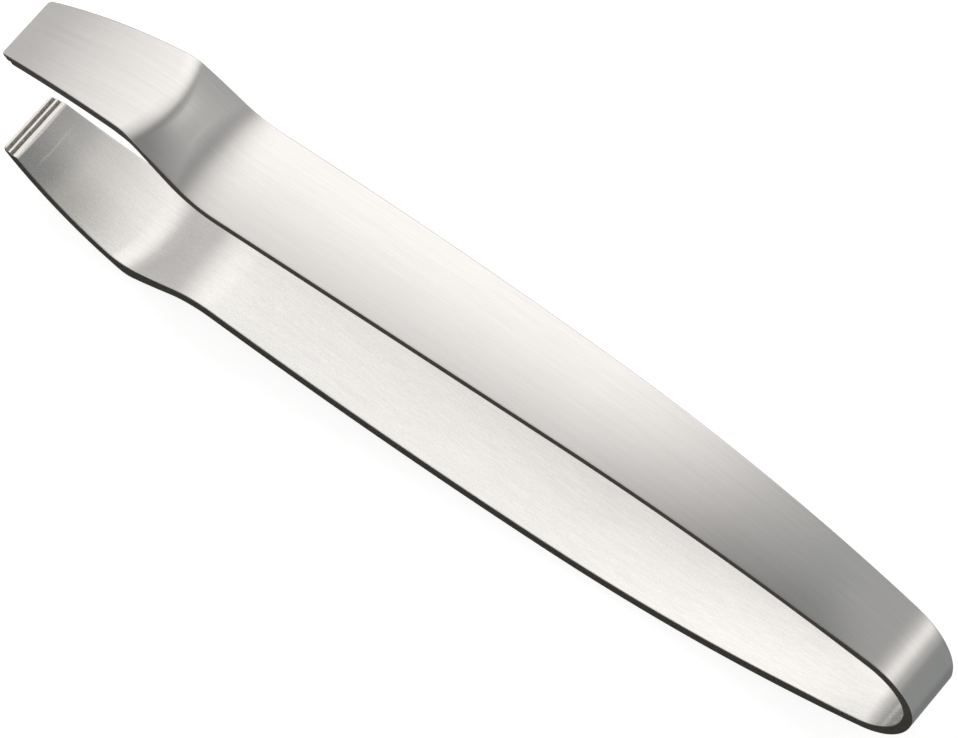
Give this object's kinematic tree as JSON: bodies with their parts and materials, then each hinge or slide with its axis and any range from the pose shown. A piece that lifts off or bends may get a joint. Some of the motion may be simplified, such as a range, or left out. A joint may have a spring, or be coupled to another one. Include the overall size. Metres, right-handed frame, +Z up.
{
  "type": "fish bone tweezers",
  "caption": "Fish bone tweezers bent from a strip of brushed stainless spring steel, with sprung arms and broad curved paddles whose grooved tips grip a bone.",
  "frame": {"origin": "on the surface the tweezers lie on, under the centre of their outline", "axes": "+X from the tips towards the bow, +Y across the strip, +Z up from the lower arm to the upper arm, with the tweezers lying on the lower arm"},
  "size_m": [0.1302, 0.0136, 0.0332],
  "materials": {
    "stainless_steel": "stainless steel brushed along its length"
  },
  "bodies": {
    "bow": {"spring_bow": "stainless_steel"},
    "upper": {"upper_arm": "stainless_steel"},
    "lower": {"lower_arm": "stainless_steel"}
  },
  "joints": [
    {"name": "upper_arm_flex", "type": "hinge", "parent": "bow", "child": "upper", "pos_m": [0.05906, 0, 0.01906], "axis": [0, -1, 0], "range_deg": [0, 5], "stiffness_Nm_per_rad": 8},
    {"name": "lower_arm_flex", "type": "hinge", "parent": "bow", "child": "lower", "pos_m": [0.05835, 0, 0.00427], "axis": [0, 1, 0], "range_deg": [0, 5], "stiffness_Nm_per_rad": 8}
  ],
  "couplings": [
    {"joint": "lower_arm_flex", "follows": "upper_arm_flex", "ratio": 1}
  ]
}
